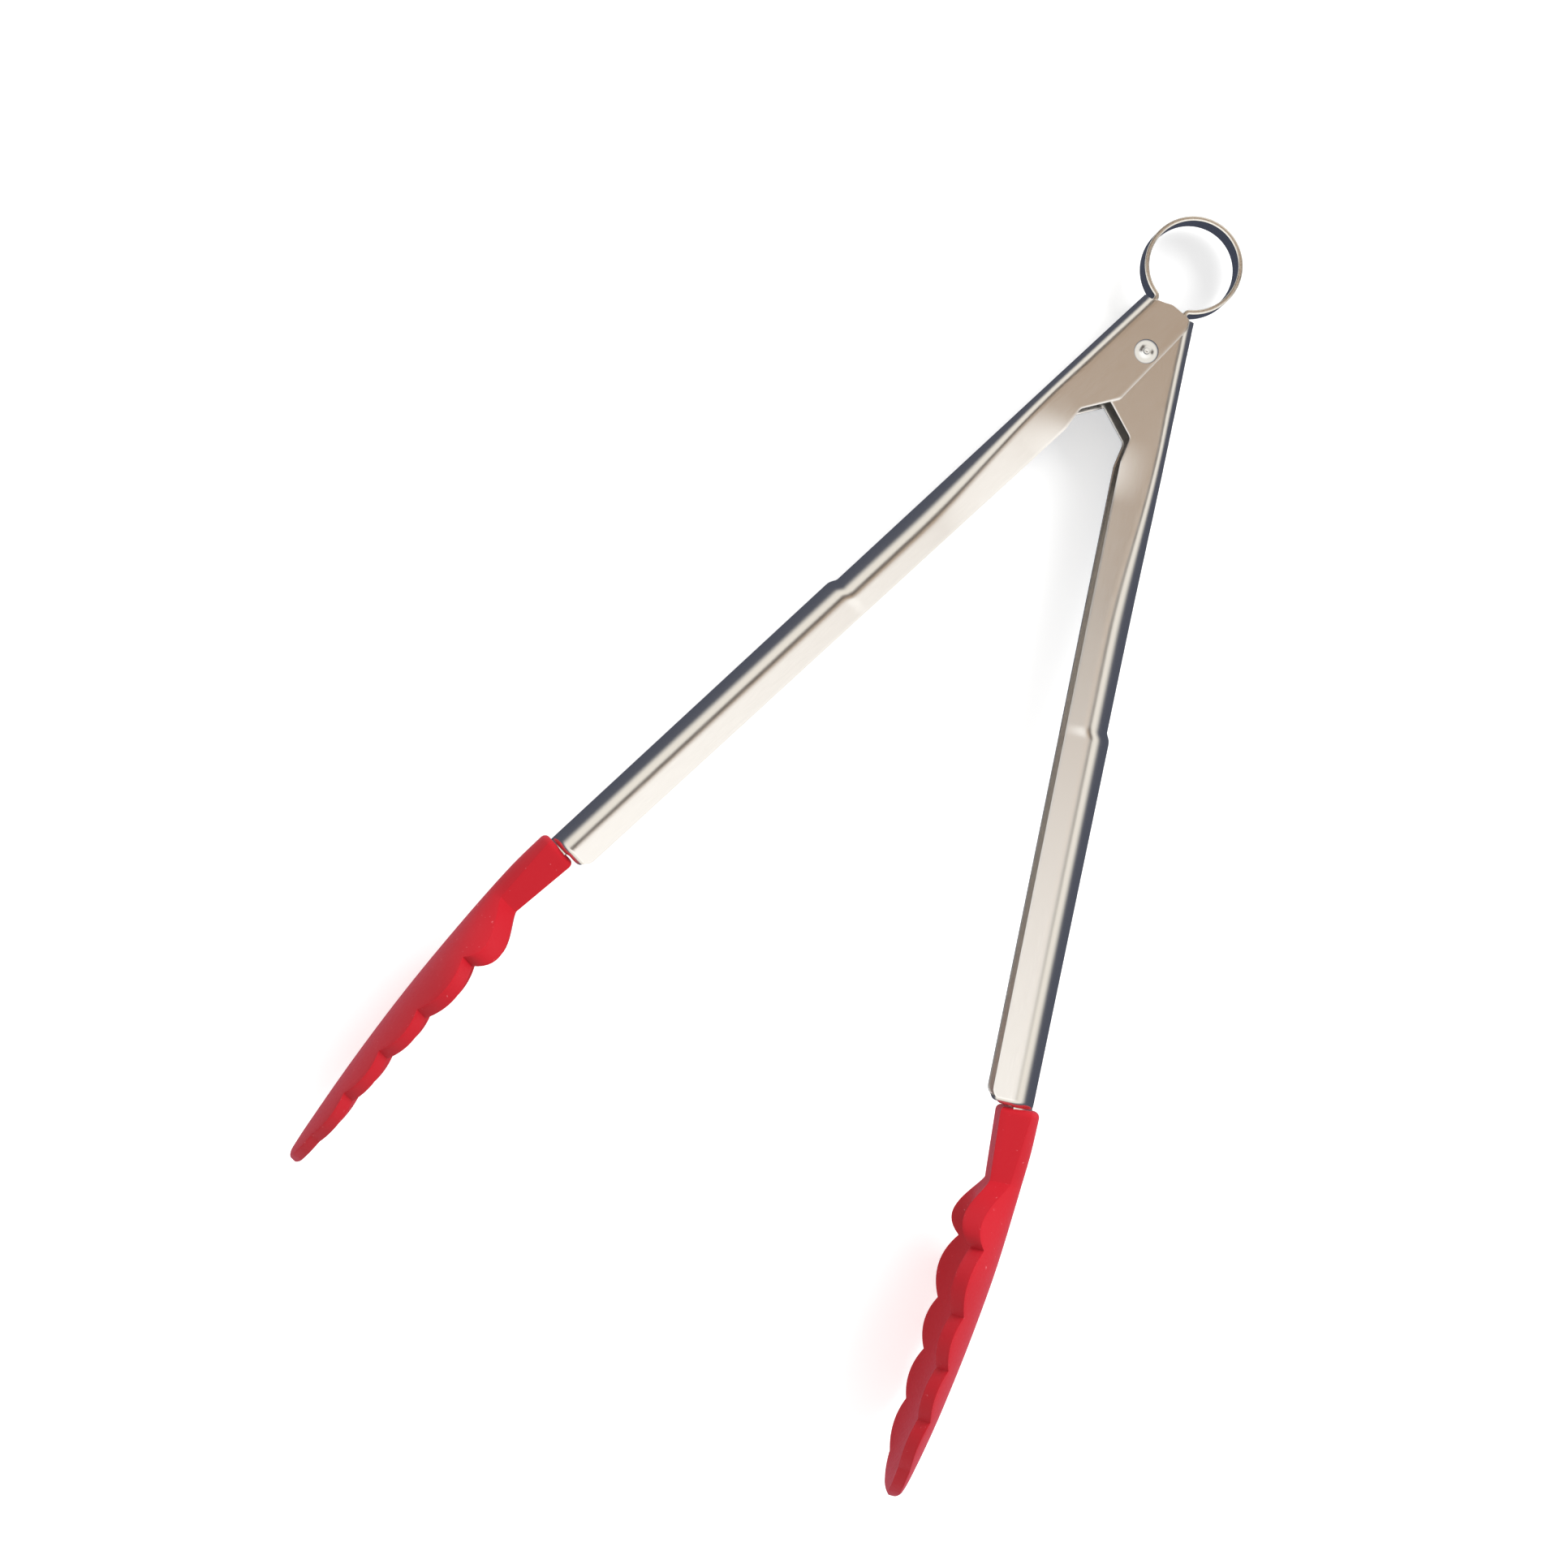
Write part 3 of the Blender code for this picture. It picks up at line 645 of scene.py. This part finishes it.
band = shaped_grid("ring_band", len(path), 9, band_point)
apply_modifier(band, "SOLIDIFY", thickness=BAND_SHEET, offset=0, use_even_offset=True)
outwards(band)
apply_modifier(band, "BEVEL", width=0.14 * MM, segments=2, limit_method="ANGLE", angle_limit=math.radians(50))
halves = []
for name, keep_left in (("ring_left_half", True), ("ring_right_half", False)):
    half = band.copy()
    half.data = band.data.copy()
    half.name = name
    bpy.context.collection.objects.link(half)
    edit(
        half,
        lambda: bpy.ops.mesh.bisect(
            plane_co=(0, 0, 0), plane_no=(1, 0, 0), use_fill=True, clear_outer=keep_left, clear_inner=not keep_left
        ),
    )
    outwards(half)
    smooth(half, 40)
    halves.append(half)
bpy.data.objects.remove(band)
print("ring halves have", [len(half.data.polygons) for half in halves], "faces")

# %% [markdown]
# ## Finishes
# Fine brushing runs along the arms. It is shared by the steel finishes, so it is a node group: it stretches a noise
# along one way of the piece's own plan, and gives out a mask and a bumped normal.

# %% A node group for brushed grain
def new_group(name, inputs, outputs):
    group = bpy.data.node_groups.new(name, "ShaderNodeTree")
    for label, kind, value in inputs:
        socket = group.interface.new_socket(name=label, in_out="INPUT", socket_type=kind)
        if value is not None:
            socket.default_value = value
    for label, kind in outputs:
        group.interface.new_socket(name=label, in_out="OUTPUT", socket_type=kind)
    return group, group.nodes.new("NodeGroupInput"), group.nodes.new("NodeGroupOutput")


def math_node(tree, operation, first, second=None, third=None):
    node = tree.nodes.new("ShaderNodeMath")
    node.operation = operation
    for socket, value in zip(node.inputs, (first, second, third)):
        if isinstance(value, bpy.types.NodeSocket):
            tree.links.new(value, socket)
        elif value is not None:
            socket.default_value = value
    return node.outputs[0]


def brushed_grain():
    group, inputs, outputs = new_group(
        "brushed_grain",
        [("Vector", "NodeSocketVector", None), ("Stretch", "NodeSocketVector", (60, 900, 900)), ("Depth", "NodeSocketFloat", 0.1)],
        [("Mask", "NodeSocketFloat"), ("Normal", "NodeSocketVector")],
    )
    scale = group.nodes.new("ShaderNodeVectorMath")
    scale.operation = "MULTIPLY"
    noise = group.nodes.new("ShaderNodeTexNoise")
    noise.inputs["Scale"].default_value = 1.0
    noise.inputs["Detail"].default_value = 3.0
    bump = group.nodes.new("ShaderNodeBump")
    bump.inputs["Distance"].default_value = 0.00002
    link = group.links.new
    link(inputs.outputs["Vector"], scale.inputs[0])
    link(inputs.outputs["Stretch"], scale.inputs[1])
    link(scale.outputs[0], noise.inputs["Vector"])
    link(noise.outputs["Fac"], bump.inputs["Height"])
    link(inputs.outputs["Depth"], bump.inputs["Strength"])
    link(noise.outputs["Fac"], outputs.inputs["Mask"])
    link(bump.outputs["Normal"], outputs.inputs["Normal"])
    return group


GRAIN = brushed_grain()
print("node group", GRAIN.name)


# %% [markdown]
# ## Materials
# Each finish starts from one shader with its colour, and then takes the grain at its own scale and depth. A fine
# grain that changes the gloss is what keeps a surface from looking like plain plastic.

# %% Helpers for materials
def new_material(name, colour, roughness, metallic):
    material = bpy.data.materials.new(name)
    material.use_nodes = True
    tree = material.node_tree
    shader = tree.nodes["Principled BSDF"]
    shader.inputs["Base Color"].default_value = (*colour, 1.0)
    shader.inputs["Roughness"].default_value = roughness
    shader.inputs["Metallic"].default_value = metallic
    return material, tree, shader


def mix_colour(tree, factor, first, second):
    node = tree.nodes.new("ShaderNodeMix")
    node.data_type = "RGBA"
    sockets = (node.inputs["Factor"], node.inputs[6], node.inputs[7])
    for socket, value in zip(sockets, (factor, first, second)):
        if isinstance(value, bpy.types.NodeSocket):
            tree.links.new(value, socket)
        elif isinstance(value, tuple):
            socket.default_value = (*value, 1.0)
        else:
            socket.default_value = value
    return node.outputs[2]


def map_range(tree, value, low, high, to_low=0.0, to_high=1.0):
    node = tree.nodes.new("ShaderNodeMapRange")
    node.inputs["From Min"].default_value = low
    node.inputs["From Max"].default_value = high
    node.inputs["To Min"].default_value = to_low
    node.inputs["To Max"].default_value = to_high
    tree.links.new(value, node.inputs["Value"])
    return node.outputs["Result"]


def grained(name, colour, metallic, smoothest, roughest, stretch, depth, angle=0.0):
    """A finish whose gloss and surface follow the grain. Angle turns the grain to run along an arm."""
    material, tree, shader = new_material(name, colour, smoothest, metallic)
    coordinates = tree.nodes.new("ShaderNodeTexCoord")
    turn = tree.nodes.new("ShaderNodeVectorRotate")
    turn.rotation_type = "Z_AXIS"
    turn.inputs["Angle"].default_value = angle
    turn.inputs["Center"].default_value = RIVET
    grain = tree.nodes.new("ShaderNodeGroup")
    grain.node_tree = GRAIN
    grain.inputs["Stretch"].default_value = stretch
    grain.inputs["Depth"].default_value = depth
    link = tree.links.new
    link(coordinates.outputs["Object"], turn.inputs["Vector"])
    link(turn.outputs[0], grain.inputs["Vector"])
    link(grain.outputs["Normal"], shader.inputs["Normal"])
    link(map_range(tree, grain.outputs["Mask"], 0.3, 0.7, smoothest, roughest), shader.inputs["Roughness"])
    return material, tree, shader, grain.outputs["Mask"]


# %% [markdown]
# ## The steels
# The arms are brushed along their length, so their grain is drawn out many times longer than it is wide. The rivet
# was formed cold and tumbled, and the spring is tempered strip with bright, sheared edges.

# %% Steel finishes
STEEL, BRUSHED = (0.83, 0.80, 0.765), (300, 5000, 5000)
along_outer, along_inner = math.pi / 2 + HALF_OPENING, math.pi / 2 - HALF_OPENING
OUTER_STEEL = grained("outer_arm_steel", STEEL, 1.0, 0.2, 0.235, BRUSHED, 0.05, along_outer)[0]
INNER_STEEL = grained("inner_arm_steel", STEEL, 1.0, 0.2, 0.235, BRUSHED, 0.05, along_inner)[0]
RIVET_STEEL = grained("polished_rivet", (0.80, 0.79, 0.78), 1.0, 0.13, 0.19, (900, 900, 900), 0.04)[0]
SPRING_STEEL = grained("spring_steel", (0.42, 0.43, 0.47), 1.0, 0.19, 0.26, (1500, 1500, 400), 0.05)[0]
CUT_EDGE = grained("cut_edge_steel", (0.82, 0.79, 0.74), 1.0, 0.18, 0.27, (2500, 2500, 300), 0.06)[0]
print("steels:", [m.name for m in (OUTER_STEEL, INNER_STEEL, RIVET_STEEL, SPRING_STEEL, CUT_EDGE)])

# %% [markdown]
# ## The silicone
# Moulded silicone is matte, with a faint sheen at grazing angles. It draws dust, so where the grain peaks the red
# turns a little paler.

# %% Red silicone
RED_COLOUR, DUSTY_RED = (0.44, 0.006, 0.014), (0.62, 0.16, 0.18)
RED, tree, shader, mask = grained("moulded_red", RED_COLOUR, 0.0, 0.44, 0.58, (1100, 1100, 1100), 0.3)
dust = map_range(tree, mask, 0.70, 0.80)
tree.links.new(mix_colour(tree, dust, RED_COLOUR, DUSTY_RED), shader.inputs["Base Color"])
shader.inputs["Specular IOR Level"].default_value = 0.25
shader.inputs["Sheen Weight"].default_value = 0.2
shader.inputs["Sheen Roughness"].default_value = 0.4
shader.inputs["Sheen Tint"].default_value = (1.0, 0.35, 0.5, 1.0)
print("material", RED.name)

# %% [markdown]
# ## Put the pieces on their bodies
# Each piece takes the place of its plain solid and rides with the same body. The halves of the spring take the place
# of the plain ring, but they are put on neither body.

# %% Finish the pieces
finish(outer_arm, "outer_side", "arm_steel", OUTER_STEEL)
finish(inner_arm, "inner_side", "arm_steel", INNER_STEEL)
finish(outer_head, "outer_side", "red_silicone", RED)
finish(inner_head, "inner_side", "red_silicone", RED)
finish(rivet, "outer_side", "rivet_steel", RIVET_STEEL)
for piece, node in (
    (outer_arm, "outer_arm"),
    (inner_arm, "inner_arm"),
    (outer_head, "outer_head"),
    (inner_head, "inner_head"),
    (rivet, "pivot_rivet"),
):
    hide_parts(node)
foot = RIVET.y + 12.4 * MM
seam = RIVET.y + RING_CENTRE + RING_RADIUS - BAND_SHEET
for half, low, high in ((halves[0], foot, 2 * seam - foot), (halves[1], 2 * seam - foot, foot)):
    finish(half, None, "ring_steel", SPRING_STEEL, CUT_EDGE)
    for face in half.data.polygons:
        face.material_index = 1 if abs(face.normal.z) > 0.5 else 0
    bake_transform(half)
    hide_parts("ring_spring")

# %% [markdown]
# ## The floor
# The tongs lie on their side. They touch the table with the rims of both heads and with the rivet, so the floor is a
# plane through those points, a little nearer to the tongs at the rivet's end. The floor is given a painted glow: it
# emits a little light of its own, though it is no lamp, so that shadows on it stay faint.

# %% Lay a pale floor under the tongs
lows = [vert.co for head in (outer_head, inner_head) for vert in head.data.vertices]
rivet_low = RIVET.z - extent("pivot_rivet", 2) / 2
slope = max((rivet_low - co.z) / (RIVET.y - co.y) for co in lows)
bpy.ops.mesh.primitive_plane_add(size=6)
floor = bpy.context.active_object
floor.name = "floor"
floor.rotation_euler.x = math.atan(slope)
floor.location = (0, RIVET.y, rivet_low - 0.0001)
PALE, _, pale_shader = new_material("pale_floor", (0.86, 0.86, 0.855), 0.9, 0.0)
# Painted glow: the floor's emission lifts its own shadows, though the floor is no lamp.
pale_shader.inputs["Emission Color"].default_value = (1.0, 1.0, 1.0, 1.0)
pale_shader.inputs["Emission Strength"].default_value = 0.42
floor.data.materials.append(PALE)
print("the floor slopes by", round(math.degrees(math.atan(slope)), 2), "degrees")


# %% [markdown]
# ## Light
# The light is that of a white tent. Its walls light the table and the red heads evenly. What the steel mirrors is
# drawn apart: white overhead, a brown bar where the tent is open towards the room, cream walls, and slate below the
# table's edge. Those few soft shapes give the bands that run along a bright, rounded channel.

# %% A soft tent of light
world = bpy.data.worlds.new("light_tent")
world.use_nodes = True
bpy.context.scene.world = world
tree = world.node_tree


def degrees(first, second=None):
    operation = "ARCTAN2" if second else "ARCCOSINE"
    return math_node(tree, "MULTIPLY", math_node(tree, operation, first, second), 180 / math.pi)


def soft_step(value, low, high):
    result = map_range(tree, value, low, high)
    result.node.interpolation_type = "SMOOTHSTEP"
    return result


direction = tree.nodes.new("ShaderNodeTexCoord")
parts = tree.nodes.new("ShaderNodeSeparateXYZ")
tree.links.new(direction.outputs["Generated"], parts.inputs[0])
across = degrees(parts.outputs["X"], parts.outputs["Z"])
along = degrees(parts.outputs["Y"], parts.outputs["Z"])
down = degrees(parts.outputs["Z"])
BAR_SIDE = math_node(tree, "ABSOLUTE", math_node(tree, "SUBTRACT", across, 3.0))
bar_low = math_node(tree, "SUBTRACT", along, math_node(tree, "MULTIPLY_ADD", across, 0.28, 2.0))
bar = math_node(tree, "MULTIPLY", soft_step(bar_low, -2.5, 2.5), soft_step(along, 30.0, 20.0))
bar = math_node(tree, "MULTIPLY", bar, soft_step(BAR_SIDE, 30.0, 24.0))
bar_colour = mix_colour(tree, soft_step(BAR_SIDE, 9.0, 14.0), (0.42, 0.30, 0.20), (0.07, 0.052, 0.045))
walls = mix_colour(tree, soft_step(down, 14.0, 30.0), (1.3, 1.3, 1.28), (1.0, 0.97, 0.9))
walls = mix_colour(tree, bar, walls, bar_colour)
mirrored = mix_colour(tree, soft_step(down, 50.0, 78.0), walls, (0.09, 0.10, 0.135))
paths = tree.nodes.new("ShaderNodeLightPath")
seen = mix_colour(tree, paths.outputs["Is Glossy Ray"], (0.9, 0.9, 0.9), mirrored)
tree.links.new(seen, tree.nodes["Background"].inputs["Color"])
print("the tent is drawn with", len(tree.nodes), "nodes")

# %% [markdown]
# One large lamp beyond the hanging ring makes the heads' facets read: those that face it are lighter, and those that
# face the near edge of the table are deeper.

# %% A large soft lamp
bpy.ops.object.light_add(type="AREA", location=(0.45, 0.85, 0.75))
lamp = bpy.context.active_object
lamp.name = "soft_lamp"
lamp.data.size = 0.7
lamp.data.energy = 14
lamp.rotation_euler = (lamp.location - Vector((0, -0.02, 0))).to_track_quat("Z", "Y").to_euler()
lamp.visible_glossy = False
floor.visible_glossy = False
print("lamp", round(lamp.location.length, 2), "m away")

# %% [markdown]
# ## The camera
# The camera stands high over the table and looks almost straight down, from far enough away that the two rims of
# each head nearly line up.

# %% Place the camera
CAMERA_PLACE = RIVET + Vector((-55.9, -163.3, 1007.7)) * MM
CAMERA_TARGET = RIVET + Vector((-23.4, -128.3, -1.2)) * MM
IMAGE_UP = Vector((-0.4926, 0.8702, 0))
camera_data = bpy.data.cameras.new("camera")
camera = bpy.data.objects.new("camera", camera_data)
bpy.context.collection.objects.link(camera)
back = (CAMERA_PLACE - CAMERA_TARGET).normalized()
right = IMAGE_UP.cross(back).normalized()
up = back.cross(right)
camera.matrix_world = Matrix.Translation(CAMERA_PLACE) @ Matrix((right, up, back)).transposed().to_4x4()
camera_data.sensor_width = 36
camera_data.lens = 99.69
camera_data.clip_start = 0.01
camera_data.clip_end = 20
bpy.context.scene.camera = camera
bpy.context.scene.view_settings.view_transform = "Standard"
print("camera", round((CAMERA_PLACE - CAMERA_TARGET).length, 3), "m away")
